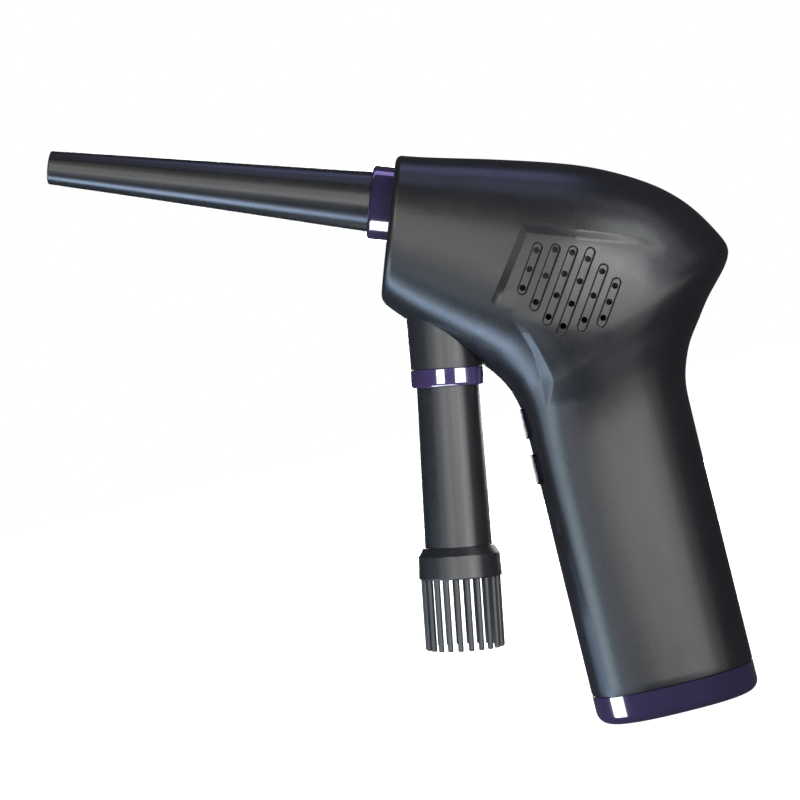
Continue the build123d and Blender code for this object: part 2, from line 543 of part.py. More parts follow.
# ---------------------------------------------------------------- inner wires
leads = []
for p, x in zip(LEADS, (1.5, -1.0, -3.5)):
    leads.append(wire_run([B(p, FAN_Q - 10.52), B(p, 95.5), (x, 8.5, 82.0), (x, 8.5, BOARD_Z[1])], [5.0, 5.0], 0.8))
parts["motor_leads"] = Compound([solids(w) for w in leads])
sw = []
for k, y in enumerate((3.6, 5.4)):
    z = 76.0 + 2.2 * k
    x = -8.5 + 2.2 * k
    sw.append(wire_run([(-13.2, y, z), (x, y, z), (x, 8.5, z - 4.0), (x, 8.5, BOARD_Z[1])], [1.6, 1.6], 0.55))
parts["switch_leads"] = Compound([solids(w) for w in sw])
cw = []
for x in (4.0, 7.0):
    cw.append(wire_run([(x, 5.6, 3.22), (x, 5.6, 7.2), (x, 8.5, 9.6), (x, 8.5, BOARD_Z[0])], [1.4, 1.4], 0.6))
parts["charge_leads"] = Compound([solids(w) for w in cw])

# ---------------------------------------------------------------- write the pieces
os.makedirs("parts", exist_ok=True)
for name, shape in parts.items():
    s = solids(shape)
    export_step(s, f"parts/{name}.step")
    print(f"{name:16s} solids {len(shape.solids()):3d}  volume {shape.volume / 1000:8.3f} cm3")
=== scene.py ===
import bmesh
import bpy
import math
import numpy as np
from mathutils import Matrix, Vector


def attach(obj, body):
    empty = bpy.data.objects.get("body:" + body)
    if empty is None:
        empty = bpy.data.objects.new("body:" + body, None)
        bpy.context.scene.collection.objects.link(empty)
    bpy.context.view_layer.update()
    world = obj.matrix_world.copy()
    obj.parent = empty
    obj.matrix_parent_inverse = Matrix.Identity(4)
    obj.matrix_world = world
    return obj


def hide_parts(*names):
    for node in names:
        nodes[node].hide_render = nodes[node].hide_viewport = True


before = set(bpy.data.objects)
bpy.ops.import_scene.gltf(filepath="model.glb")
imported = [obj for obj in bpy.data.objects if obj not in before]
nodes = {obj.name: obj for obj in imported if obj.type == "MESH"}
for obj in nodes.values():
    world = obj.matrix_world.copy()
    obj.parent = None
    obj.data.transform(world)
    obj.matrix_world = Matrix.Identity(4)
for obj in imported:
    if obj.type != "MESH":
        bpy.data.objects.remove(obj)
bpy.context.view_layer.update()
scene = bpy.context.scene
MM = 0.001

# ---------------------------------------------------------------- casing shape, in millimetres
BARREL_PITCH = 20.0
WALL = 2.2
FACE_P, FACE_ROUND = 94.2, 1.8
CASING_Z0 = 8.1
NOZ_Q = 129.5
TUBE_X0, TUBE_Z0, TUBE_LEAN = -41.10, 100.97, 10.0
BUTTON_W, BUTTON_L, BUTTON_Z = 13.0, 8.7, (85.9, 72.95)
PART_GAP = 0.03

# underside x, z; top or rear x, z; half width; squareness
SECTIONS = [
    (-53.50, 128.45, -39.60, 166.60, 19.2, 2.25),
    (-49.60, 123.85, -34.70, 164.95, 19.8, 2.25),
    (-45.60, 119.70, -26.50, 162.55, 20.8, 2.27),
    (-41.60, 115.80, -17.00, 159.90, 22.0, 2.30),
    (-38.00, 112.30, -7.50, 157.10, 23.2, 2.30),
    (-34.80, 109.20, 2.00, 154.10, 24.3, 2.30),
    (-32.00, 106.50, 11.50, 150.50, 25.2, 2.30),
    (-29.80, 104.20, 20.00, 146.20, 25.8, 2.30),
    (-28.10, 102.10, 27.50, 141.40, 26.0, 2.30),
    (-26.75, 100.20, 33.60, 136.00, 26.0, 2.30),
    (-25.65, 98.40, 38.20, 130.10, 25.8, 2.30),
    (-24.80, 96.70, 41.40, 124.60, 25.4, 2.30),
    (-24.15, 95.10, 43.20, 119.60, 24.9, 2.30),
    (-23.70, 93.50, 41.90, 116.00, 24.3, 2.30),
    (-23.30, 92.00, 38.60, 112.00, 23.6, 2.32),
    (-23.00, 90.30, 34.40, 107.40, 22.7, 2.35),
    (-22.82, 88.30, 30.70, 102.40, 21.8, 2.38),
    (-22.74, 86.00, 27.20, 97.50, 20.9, 2.41),
    (-22.70, 83.00, 24.80, 92.50, 20.1, 2.44),
    (-22.70, 79.00, 23.20, 87.00, 19.4, 2.47),
    (-22.70, 73.50, 22.75, 80.00, 18.9, 2.50),
    (-22.70, 65.00, 22.70, 69.00, 18.6, 2.50),
    (-22.70, 52.00, 22.70, 53.00, 18.5, 2.50),
    (-22.70, 30.00, 22.70, 30.00, 18.5, 2.50),
    (-22.70, CASING_Z0, 22.70, CASING_Z0, 18.5, 2.50),
    (-22.70, CASING_Z0 - 6, 22.70, CASING_Z0 - 6, 18.5, 2.50),
]
# vents: centre along and across the barrel, overall length, hole count, hole spacing, hole shift
VENTS = [
    (55.24, 114.30, 14.9, 3, 5.35, -0.1),
    (50.97, 112.35, 19.1, 3, 7.45, 0.5),
    (46.70, 110.60, 22.6, 4, 6.10, 0.3),
    (42.35, 109.40, 25.3, 4, 6.35, -0.2),
    (37.75, 108.30, 19.3, 3, 6.90, 0.6),
    (33.30, 107.50, 14.1, 3, 4.55, 0.2),
]
VENT_LEAN, VENT_W, VENT_DEPTH, HOLE_R = 14.0, 2.75, 0.74, 0.86
SCREWS = [(33.568, 117.083), (10.0, 97.0), (-21.8, 110.0), (8.0, 72.5)]

cb, sb = math.cos(math.radians(BARREL_PITCH)), math.sin(math.radians(BARREL_PITCH))


def spline_fit(t, v):
    """Natural cubic spline through (t, v); returns an evaluator."""
    t, v = np.asarray(t, float), np.asarray(v, float)
    n = len(t)
    h = np.diff(t)
    A, r = np.zeros((n, n)), np.zeros(n)
    A[0, 0] = A[-1, -1] = 1
    for i in range(1, n - 1):
        A[i, i - 1], A[i, i], A[i, i + 1] = h[i - 1], 2 * (h[i - 1] + h[i]), h[i]
        r[i] = 6 * ((v[i + 1] - v[i]) / h[i] - (v[i] - v[i - 1]) / h[i - 1])
    m = np.linalg.solve(A, r)

    def f(x):
        x = np.asarray(x, float)
        i = np.clip(np.searchsorted(t, x) - 1, 0, n - 2)
        a, b = t[i + 1] - x, x - t[i]
        return (m[i] * a**3 + m[i + 1] * b**3) / (6 * h[i]) + (v[i] / h[i] - m[i] * h[i] / 6) * a + (
            v[i + 1] / h[i] - m[i + 1] * h[i] / 6) * b
    return f


S = np.array(SECTIONS)
chord = 0.5 * (np.hypot(np.diff(S[:, 0]), np.diff(S[:, 1])) + np.hypot(np.diff(S[:, 2]), np.diff(S[:, 3])))
T = np.concatenate([[0], np.cumsum(chord)])
FIT = [spline_fit(T, S[:, k]) for k in range(6)]
PER_P = T[1] / (FACE_P - (-cb * S[1, 0] + sb * S[1, 1]))
T_NOSE, T_IN, T_END = FACE_ROUND * PER_P, (WALL + 0.4) * PER_P, T[-2]


def pq(x, z):
    return -cb * x + sb * z, sb * x + cb * z


def from_pq(p, q):
    return -cb * p + sb * q, sb * p + cb * q


def sections(t, inset):
    """Centre, direction, half length, half width and squareness at each t."""
    t = np.asarray(t, float)
    inset = np.broadcast_to(np.asarray(inset, float), t.shape)
    ix, iz, ox, oz, b, n = [f(t) for f in FIT]
    length = np.hypot(ox - ix, oz - iz)
    ux, uz = (ox - ix) / length, (oz - iz) / length
    e = 1e-3

    def oblique(kx, kz):
        gx, gz = FIT[kx](t + e) - FIT[kx](t - e), FIT[kz](t + e) - FIT[kz](t - e)
        return np.maximum(0.5, np.abs(ux * gz - uz * gx) / np.hypot(gx, gz))
    wi, wo = inset / oblique(0, 1), inset / oblique(2, 3)
    ix, iz, ox, oz = ix + ux * wi, iz + uz * wi, ox - ux * wo, oz - uz * wo
    return (ix + ox) / 2, (iz + oz) / 2, ux, uz, np.hypot(ox - ix, oz - iz) / 2, b - inset, n


def surface(rows, fs):
    """Grid of points on the half with y >= 0; rows are (t, inset, scale towards the section centre)."""
    r = np.array(rows, float)
    cx, cz, ux, uz, a, b, n = [v[:, None] for v in sections(r[:, 0], r[:, 1])]
    f = np.asarray(fs)[None, :]
    rad = (np.abs(np.cos(f) / a) ** n + np.abs(np.sin(f) / b) ** n) ** (-1 / n) * r[:, 2][:, None]
    s, y = rad * np.cos(f), np.maximum(rad * np.sin(f), PART_GAP)
    return np.stack([cx + ux * s, y, cz + uz * s], -1)


def smooth(v):
    v = np.clip(v, 0, 1)
    return v * v * (3 - 2 * v)


# the crease below the vent panel: height, left edge, right edge, how proud the panel stands
CREASE = np.array([
    (88.68, -16.90, -16.80, 0.0), (90.4, -16.85, -15.75, 0.20), (92.12, -16.70, -14.67, 0.50), (94.5, -16.60, -13.75, 0.80),
    (96.85, -16.50, -13.23, 0.95), (100.8, -16.75, -14.05, 0.95), (104.74, -17.20, -15.13, 0.88), (108.2, -18.30, -16.15, 0.74),
    (111.6, -19.50, -17.29, 0.55), (114.0, -20.30, -19.10, 0.28), (115.93, -20.95, -20.75, 0.0)])
CREASE_FIT = [spline_fit(CREASE[:, 0], CREASE[:, k]) for k in (1, 2, 3)]
RECESS_DEPTH = 1.25
RIM_Q, RIM_U, RIM_V = 125.9, 2.24, 2.1


def panel_depth(p, q):
    """How far the vent panel's floor lies under the plain casing surface; it runs out to the rear and below."""
    near = smooth((p - 54.0) / 7.0)
    lo, hi = 98.0 + 4.5 * near, 115.0 - 6.5 * near
    return RECESS_DEPTH * np.clip((p - 18.0) / 40.0, 0, 1) ** 0.85 * smooth((p - 16.0) / 14.0) * smooth((q - lo) / (hi - lo))


def panel_wall(p, q):
    """1 on the panel's floor, 0 along its front and upper rim, below 0 outside."""
    u = 58.4 + 0.2893 * (RIM_Q - q) - p
    return np.minimum(1, np.minimum(u / RIM_U, (RIM_Q - q) / RIM_V))


def crease(x, z):
    """Height of the crease under the vent panel over the plain casing surface."""
    zc = np.clip(z, CREASE[0, 0], CREASE[-1, 0])
    xl, xr, rise = [f(zc) for f in CREASE_FIT]
    rise = np.where((z > CREASE[0, 0]) & (z < CREASE[-1, 0]), np.maximum(rise, 0), 0)
    ramp = np.clip((x - xl) / np.maximum(xr - xl, 0.05), 0, 1)
    fade = 0.5 + 0.5 * np.cos(np.pi * np.clip((x - xr) / 17.0, 0, 1))
    return rise * ramp * fade


def relief(x, z):
    """Height of all side detail over the plain casing surface."""
    p, q = pq(x, z)
    return crease(x, z) - panel_depth(p, q) * np.clip(panel_wall(p, q), 0, 1)


def side_y(x, z, detail=relief):
    """Half width of the finished casing surface over the points (x, z)."""
    x, z = np.asarray(x, float), np.asarray(z, float)
    ts = np.linspace(0.5, T_END, 2400)
    cx, cz, ux, uz, a, b, n = sections(ts, 0.0)
    off = (x[:, None] - cx) * -uz + (z[:, None] - cz) * ux
    s = ((x[:, None] - cx) * ux + (z[:, None] - cz) * uz) / a
    k = np.argmin(np.abs(off) + 1e3 * (np.abs(s) > 0.999), 1)
    i = np.arange(len(x))
    return b[k] * np.maximum(0, 1 - np.abs(s[i, k]) ** n[k]) ** (1 / n[k]) + detail(x, z)


def steps(lo, hi, marks):
    """Positions from lo to hi; the local step is read off marks (position, step)."""
    at, size = zip(*marks)
    out = [lo]
    while out[-1] < hi:
        out.append(out[-1] + float(np.interp(out[-1], at, size)))
    out = np.array(out)
    return lo + (out - lo) * (hi - lo) / (out[-1] - lo)


def mesh_object(name, verts, faces, material=None):
    me = bpy.data.meshes.new(name)
    me.from_pydata([tuple(v) for v in np.asarray(verts) * MM], [], faces)
    bm = bmesh.new()
    bm.from_mesh(me)
    bmesh.ops.recalc_face_normals(bm, faces=bm.faces)
    bm.to_mesh(me)
    bm.free()
    ob = bpy.data.objects.new(name, me)
    scene.collection.objects.link(ob)
    if material:
        me.materials.append(material)
    return ob


def loft(rings, close_first=True, close_last=True):
    """Vertices and faces of a closed tube through rings of equal length, its ends closed by strips."""
    n = len(rings[0])
    verts = np.concatenate(rings)
    faces = []
    for i in range(len(rings) - 1):
        for j in range(n):
            k = (j + 1) % n
            faces.append((i * n + j, i * n + k, (i + 1) * n + k, (i + 1) * n + j))
    for close, base in ((close_first, 0), (close_last, (len(rings) - 1) * n)):
        if close:
            for j in range(n // 2 - 1):
                faces.append((base + j, base + j + 1, base + n - 2 - j, base + n - 1 - j))
    return verts, faces


def round_bar(origin, axis, r, w0, w1, n=64):
    """Plain cylinder along axis from w0 to w1."""
    a = np.array(axis, float) / np.linalg.norm(axis)
    e = np.array([0, 1, 0]) if abs(a[1]) < 0.9 else np.array([1, 0, 0])
    e1 = np.cross(a, e)
    e1 /= np.linalg.norm(e1)
    e2 = np.cross(a, e1)
    g = 2 * np.pi * (np.arange(n) + 0.5) / n
    ring = r * (np.cos(g)[:, None] * e1 + np.sin(g)[:, None] * e2)
    return loft([np.array(origin) + a * w + ring for w in (w0, w1)])


def combine(items):
    verts, faces, base = [], [], 0
    for v, f in items:
        verts.append(v)
        faces += [tuple(i + base for i in q) for q in f]
        base += len(v)
    return np.concatenate(verts), faces


def flip(item, side):
    v, f = item
    v = np.array(v)
    v[:, 1] *= side
    return v, f


def slot_cutters():
    out = []
    lean = math.radians(VENT_LEAN)
    up, across = np.array([-math.sin(lean), math.cos(lean)]), np.array([math.cos(lean), math.sin(lean)])
    m = 15
    profile = [(-1.22, -1.0), (-0.9, -1.0), (-0.6, -1.0), (-0.40, -0.98), (-0.32, -0.88), (-0.22, -0.55), (-0.12, -0.2),
               (-0.05, -0.05), (0.04, 0.01), (0.16, 0.1), (0.42, 0.9)]
    for p, q, length, *_ in VENTS:
        half = (length - VENT_W) / 2
        rings = []
        for off, h in profile:
            r = VENT_W / 2 + off
            g = np.linspace(0, np.pi, m)
            side = np.linspace(half, -half, 25)[1:-1]
            a = np.concatenate([half + r * np.sin(g)[m // 2:], side, -half - r * np.sin(g), side[::-1], half + r * np.sin(g)[:m // 2]])
            c = np.concatenate([-r * np.cos(g)[m // 2:], np.full(len(side), r), r * np.cos(g), np.full(len(side), -r), -r * np.cos(g)[:m // 2]])
            pp, qq = p + up[0] * a + across[0] * c, q + up[1] * a + across[1] * c
            x, z = from_pq(pp, qq)
            rings.append(np.stack([x, side_y(x, z) + h * VENT_DEPTH, z], -1))
        out.append(loft(rings))
    return out


def recess_cutter():
    """Solid over the vent panel's floor; its grid lines lie on the rim and on the foot of both walls."""
    k = np.arange(5) / 4
    us = np.concatenate([[-1.6], RIM_U * k, np.arange(RIM_U + 0.55, 47, 0.55)])
    qs = RIM_Q - np.concatenate([[-1.5], RIM_V * k, np.arange(RIM_V + 0.55, 28.6, 0.55)])
    u, q = np.meshgrid(us, qs, indexing="ij")
    p = 58.4 + 0.2893 * (RIM_Q - q) - u
    x, z = from_pq(p, q)
    y = side_y(x.ravel(), z.ravel(), crease).reshape(x.shape) + 0.015 - panel_depth(p, q) * panel_wall(p, q)
    nu, nq = x.shape
    low, high = np.stack([x, y, z], -1).reshape(-1, 3), np.stack([x, np.full(x.shape, 38.0), z], -1).reshape(-1, 3)
    idx = np.arange(nu * nq).reshape(nu, nq)
    up, faces = nu * nq, []
    for i in range(nu - 1):
        for j in range(nq - 1):
            a, b, c, d = int(idx[i, j]), int(idx[i + 1, j]), int(idx[i + 1, j + 1]), int(idx[i, j + 1])
            faces += [(a, b, c), (a, c, d)] if i == j else [(a, b, c, d)]
            faces.append((a + up, d + up, c + up, b + up))
    for line in (idx[0], idx[-1], idx[:, 0], idx[:, -1]):
        faces += [(int(a), int(b), int(b + up), int(a + up)) for a, b in zip(line[:-1], line[1:])]
    return np.concatenate([low, high]), faces


def hole_cutters():
    out = []
    lean = math.radians(VENT_LEAN)
    for p, q, _, count, pitch, shift in VENTS:
        for k in range(count):
            s = (k - (count - 1) / 2) * pitch + shift
            x, z = from_pq(p - math.sin(lean) * s, q + math.cos(lean) * s)
            out.append(round_bar((x, 0, z), (0, 1, 0), HOLE_R, 15, 34, 28))
    return out


def rounded_prism(x0, x1, zc, height, width, r, n=10):
    g = np.linspace(0, np.pi / 2, n)
    h, w = height / 2 - r, width / 2 - r
    y = np.concatenate([w + r * np.cos(g), -w - r * np.sin(g), -w - r * np.cos(g), w + r * np.sin(g)])
    z = np.concatenate([h + r * np.sin(g), h + r * np.cos(g), -h - r * np.sin(g), -h - r * np.cos(g)])
    y, z = np.roll(y, -n // 2), np.roll(z, -n // 2)
    return loft([np.stack([np.full(len(y), x), y, zc + z], -1) for x in (x0, x1)])


def cut(ob, item, operation="DIFFERENCE"):
    tool = mesh_object("tool", *item)
    mod = ob.modifiers.new("cut", "BOOLEAN")
    mod.operation, mod.object, mod.solver = operation, tool, "MANIFOLD"
    graph = bpy.context.evaluated_depsgraph_get()
    me = bpy.data.meshes.new_from_object(ob.evaluated_get(graph))
    ob.modifiers.clear()
    old = ob.data
    ob.data = me
    bpy.data.meshes.remove(old)
    tm = tool.data
    bpy.data.objects.remove(tool)
    bpy.data.meshes.remove(tm)


def casing_half(name, side, fine, screws):
    g = 1.0 if fine else 1.6
    body = steps(T_NOSE, T_END - 0.35, [
        (0, 0.5), (10, 0.5), (16, 0.36 * g), (20, 0.33 * g), (94, 0.33 * g), (99, 0.45 * g), (108, 1.3), (180, 2.2)])
    fs = steps(0.022, np.pi - 0.022, [(0, 0.02), (0.5, 0.03), (0.75, 0.0115 * g), (2.72, 0.0115 * g), (2.85, 0.02), (3.2, 0.02)])
    fs = np.concatenate([[0, 0.0018, 0.004, 0.007, 0.0115], fs, np.pi - np.array([0.0115, 0.007, 0.004, 0.0018, 0])])
    nf = len(fs)
    rings = (0.05, 0.25, 0.45, 0.65, 0.82, 0.93)
    turn = np.radians([90, 75, 60, 45, 30, 15])
    outer = [(0.0, FACE_ROUND, k) for k in rings]
    outer += [(FACE_ROUND * (1 - math.sin(a)) * PER_P, FACE_ROUND * (1 - math.cos(a)), 1.0) for a in turn]
    outer += [(t, 0.0, 1.0) for t in body] + [(T_END - 0.12, 0.06, 1.0), (T_END, 0.22, 1.0)]
    inner = [(T_IN, WALL, k * 0.93) for k in rings]
    inner += [(T_IN, WALL, k) for k in (0.94, 0.95, 0.96, 0.97, 0.98, 0.99)]
    inner += [(T_IN + (t - T_NOSE) * (T_END - 0.5 - T_IN) / (T_END - T_NOSE), WALL, 1.0) for t in body]
    inner += [(T_END - 0.2, WALL, 1.0), (T_END, WALL, 1.0)]
    P = surface(outer, fs)
    dt = np.gradient(P, axis=0)
    df = np.gradient(P, axis=1)
    N = np.cross(dt, df)
    N /= np.maximum(np.linalg.norm(N, axis=2, keepdims=True), 1e-12)
    mid = P[len(rings) + len(turn):, nf // 2]
    if (N[len(rings) + len(turn):, nf // 2] * np.array([0, 1, 0])).sum(1).mean() < 0:
        N = -N
    h = crease(P[..., 0], P[..., 2])
    h[:len(rings) + len(turn)] = 0
    h = h - 0.2 * np.clip(1 - P[..., 1] / 0.3, 0, 1) ** 2 * (np.arange(len(outer)) >= len(rings))[:, None]
    P = P + N * h[..., None]
    P[..., 1] = np.maximum(P[..., 1], PART_GAP)
    P[:, 0, 1] = P[:, -1, 1] = PART_GAP
    Q = surface(inner, fs)
    nr = len(outer)
    verts = np.concatenate([P.reshape(-1, 3), Q.reshape(-1, 3)])
    q0 = nr * nf
    idx = np.arange(nr * nf).reshape(nr, nf)
    quads = np.stack([idx[:-1, :-1], idx[:-1, 1:], idx[1:, 1:], idx[1:, :-1]], -1).reshape(-1, 4)
    faces = quads.tolist() + (quads[:, ::-1] + q0).tolist()
    for j in (0, nf - 1):
        a, b = idx[:-1, j], idx[1:, j]
        faces += np.stack([a, b, b + q0, a + q0], -1).tolist()
    a, b = idx[-1, :-1], idx[-1, 1:]
    faces += np.stack([a, b, b + q0, a + q0], -1).tolist()
    faces += [idx[0].tolist(), (idx[0] + q0).tolist(), [int(idx[0, 0]), int(idx[0, -1]), int(idx[0, -1] + q0), int(idx[0, 0] + q0)]]
    verts[:, 1] *= side
    ob = mesh_object(name, verts, faces)
    st, ct = math.sin(math.radians(TUBE_LEAN)), math.cos(math.radians(TUBE_LEAN))
    nx, nz = from_pq(0, NOZ_Q)
    tools = [round_bar((nx, 0, nz), (-cb, 0, sb), 9.15, 80, 110, 128), round_bar((TUBE_X0, 0, TUBE_Z0), (st, 0, ct), 10.62, -3, 27, 160)]
    tools += [rounded_prism(-30, -17.5, z, BUTTON_L + 0.36, BUTTON_W + 0.36, 2.15) for z in BUTTON_Z]
    if screws:
        xs, zs = np.array(SCREWS).T
        ys = side_y(xs, zs)
        cut(ob, combine([flip(round_bar((x, 0, z), (0, 1, 0), 3.1, 1.0, y - 1.2, 48), side) for x, z, y in zip(xs, zs, ys)]), "UNION")
        tools += [flip(round_bar((x, 0, z), (0, 1, 0), 2.62, y - 3.4, y + 6, 48), side) for x, z, y in zip(xs, zs, ys)]
        tools += [flip(round_bar((x, 0, z), (0, 1, 0), 1.35, -2, y - 3.3, 32), side) for x, z, y in zip(xs, zs, ys)]
    cut(ob, flip(recess_cutter(), side))
    cut(ob, combine([flip(c, side) for c in slot_cutters()]))
    cut(ob, combine([flip(c, side) for c in hole_cutters()] + [t for t in tools]))
    me = ob.data
    me.polygons.foreach_set("use_smooth", np.ones(len(me.polygons), bool))
    me.set_sharp_from_angle(angle=math.radians(23))
    me.update()
    return ob


# ---------------------------------------------------------------- materials
def nodes_of(name):
    m = bpy.data.materials.new(name)
    m.use_nodes = True
    t = m.node_tree
    return m, t, t.nodes["Principled BSDF"]


def noise(t, coord, scale, detail=3.0, rough=0.5, stretch=None):
    n = t.nodes.new("ShaderNodeTexNoise")
    n.inputs["Scale"].default_value = scale
    n.inputs["Detail"].default_value = detail
    n.inputs["Roughness"].default_value = rough
    if stretch:
        mp = t.nodes.new("ShaderNodeMapping")
        mp.inputs["Scale"].default_value = stretch
        t.links.new(coord, mp.inputs["Vector"])
        t.links.new(mp.outputs["Vector"], n.inputs["Vector"])
    else:
        t.links.new(coord, n.inputs["Vector"])
    return n.outputs["Fac"]


def ramp(t, fac, stops):
    r = t.nodes.new("ShaderNodeValToRGB")
    e = r.color_ramp.elements
    while len(e) < len(stops):
        e.new(0.5)
    for el, (pos, col) in zip(e, stops):
        el.position = pos
        el.color = (*col, 1) if len(col) == 3 else col
    t.links.new(fac, r.inputs["Fac"])
    return r.outputs["Color"]


def spread(t, fac, lo, hi):
    m = t.nodes.new("ShaderNodeMapRange")
    m.inputs["From Min"].default_value, m.inputs["From Max"].default_value = 0.3, 0.7
    m.inputs["To Min"].default_value, m.inputs["To Max"].default_value = lo, hi
    t.links.new(fac, m.inputs["Value"])
    return m.outputs["Result"]


def bump(t, height, strength, distance, after=None):
    b = t.nodes.new("ShaderNodeBump")
    b.inputs["Strength"].default_value = strength
    b.inputs["Distance"].default_value = distance
    t.links.new(height, b.inputs["Height"])
    if after:
        t.links.new(after, b.inputs["Normal"])
    return b.outputs["Normal"]


def grained(name, dark, light, rough, grain=5200.0, bump_strength=0.12, mottle=70.0, stretch=None, metallic=0.0, ior=1.5,
            coat=0.0, coat_rough=0.03, coat_ior=1.5, sheen=0.0):
    """Moulded or machined surface: soft colour drift, uneven gloss and a fine grain."""
    m, t, b = nodes_of(name)
    co = t.nodes.new("ShaderNodeTexCoord").outputs["Object"]
    drift = noise(t, co, mottle, 4.0, 0.55)
    fine = noise(t, co, grain, 2.0, 0.6, stretch)
    t.links.new(ramp(t, drift, [(0.32, dark), (0.68, light)]), b.inputs["Base Color"])
    t.links.new(spread(t, noise(t, co, mottle * 2.7, 5.0, 0.6), rough[0], rough[1]), b.inputs["Roughness"])
    if bump_strength:
        t.links.new(bump(t, fine, bump_strength, 0.00006), b.inputs["Normal"])
    b.inputs["Metallic"].default_value = metallic
    b.inputs["IOR"].default_value = ior
    b.inputs["Coat Weight"].default_value = coat
    b.inputs["Coat Roughness"].default_value = coat_rough
    b.inputs["Coat IOR"].default_value = coat_ior
    b.inputs["Sheen Weight"].default_value = sheen
    return m


MAT = {
    "shell": grained("satin_charcoal", (0.0098, 0.0102, 0.0112), (0.0124, 0.0129, 0.0141), (0.25, 0.30)),
    "tool": grained("satin_charcoal_tool", (0.0096, 0.0100, 0.0110), (0.0120, 0.0125, 0.0137), (0.24, 0.29), grain=6400.0),
    "trim": grained("gloss_violet", (0.040, 0.026, 0.094), (0.047, 0.031, 0.108), (0.16, 0.22), grain=900.0, bump_strength=0.0,
                    mottle=160.0, coat=1.0, coat_rough=0.035, coat_ior=2.3),
    "key": grained("key_violet", (0.013, 0.0085, 0.030), (0.017, 0.011, 0.038), (0.42, 0.5), grain=2400.0, mottle=220.0,
                   coat=0.15, coat_rough=0.25),
    "bristle": grained("nylon_bristle", (0.017, 0.0175, 0.019), (0.024, 0.0245, 0.027), (0.34, 0.46), grain=9000.0, stretch=(1, 1, 0.1)),
    "rubber": grained("black_rubber", (0.012, 0.012, 0.013), (0.02, 0.02, 0.021), (0.6, 0.75), grain=2600.0, bump_strength=0.3),
    "duct": grained("grey_moulding", (0.22, 0.225, 0.235), (0.27, 0.275, 0.285), (0.45, 0.55), grain=3800.0),
    "fan": grained("clear_grey_fan", (0.5, 0.52, 0.54), (0.58, 0.6, 0.62), (0.25, 0.35), grain=4200.0),
    "steel": grained("turned_steel", (0.5, 0.5, 0.51), (0.6, 0.6, 0.61), (0.22, 0.38), grain=3600.0, stretch=(1, 0.05, 1), metallic=1.0),
    "dark_steel": grained("laminated_steel", (0.18, 0.18, 0.19), (0.27, 0.27, 0.28), (0.35, 0.5), grain=2600.0, metallic=1.0),
    "aluminium": grained("spun_aluminium", (0.6, 0.6, 0.62), (0.72, 0.72, 0.74), (0.28, 0.4), grain=3000.0, stretch=(1, 1, 0.06), metallic=1.0),
    "copper": grained("enamelled_copper", (0.45, 0.16, 0.055), (0.62, 0.26, 0.1), (0.22, 0.34), grain=2400.0, stretch=(1, 1, 8), metallic=1.0),
    "cell": grained("cell_wrap", (0.02, 0.12, 0.26), (0.03, 0.16, 0.32), (0.3, 0.4), grain=2000.0),
    "tray": grained("pale_moulding", (0.5, 0.49, 0.46), (0.58, 0.57, 0.54), (0.45, 0.55), grain=3600.0),
    "board": grained("green_board", (0.012, 0.09, 0.04), (0.02, 0.13, 0.055), (0.28, 0.4), grain=1500.0, bump_strength=0.2),
    "chip": grained("epoxy_black", (0.014, 0.014, 0.015), (0.022, 0.022, 0.024), (0.5, 0.62), grain=4200.0, bump_strength=0.2),
    "wire": grained("silicone_red", (0.06, 0.008, 0.007), (0.08, 0.011, 0.009), (0.48, 0.6), grain=3200.0),
}
USE = {
    "shell": "casing_left casing_right inlet_spout", "trim": "base_cap front_collar spout_collar", "key": "upper_button lower_button",
    "tool": "nozzle brush_tube brush_head", "bristle": "bristles", "rubber": "nozzle_seal tube_seal duct_gasket mount_rings",
    "duct": "blow_duct fan_housing inlet_bell", "fan": "impeller",
    "steel": "inlet_screen rotor_shaft motor_bearings casing_screws board_screws battery_tabs charge_socket",
    "dark_steel": "rotor_magnet stator_core", "aluminium": "motor_can motor_end_cap", "copper": "stator_coils", "cell": "battery_cells",
    "tray": "battery_trays upper_plunger lower_plunger", "board": "switch_board control_board charge_board",
    "chip": "switch_bodies board_parts", "wire": "motor_leads switch_leads charge_leads",
}
for key, names in USE.items():
    for n in names.split():
        nodes[n].data.materials.clear()
        nodes[n].data.materials.append(MAT[key])

# ---------------------------------------------------------------- casing halves
left = casing_half("casing_left_skin", -1, True, False)
right = casing_half("casing_right_skin", 1, False, True)
for ob, node in ((left, "casing_left"), (right, "casing_right")):
    ob.data.materials.clear()
    ob.data.materials.append(MAT["shell"])
    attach(ob, "housing")
    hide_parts(node)

# ---------------------------------------------------------------- camera
ROLL = math.radians(13.87)
CAM_DIST, CAM_X, CAM_Z = 0.630, -0.0549, 0.1005
RIGHT = Vector((math.cos(ROLL), 0, -math.sin(ROLL)))
UP = Vector((math.sin(ROLL), 0, math.cos(ROLL)))
BACK = Vector((0, -1, 0))
cam_data = bpy.data.cameras.new("camera")
cam_data.sensor_width = 36.0
cam_data.lens = 36.0 * CAM_DIST / (800 / 3.6 * MM)
cam_data.clip_start, cam_data.clip_end = 0.01, 50
cam = bpy.data.objects.new("camera", cam_data)
scene.collection.objects.link(cam)
cam.matrix_world = Matrix((
    (RIGHT.x, UP.x, BACK.x, CAM_X), (RIGHT.y, UP.y, BACK.y, -CAM_DIST), (RIGHT.z, UP.z, BACK.z, CAM_Z), (0, 0, 0, 1)))
scene.camera = cam

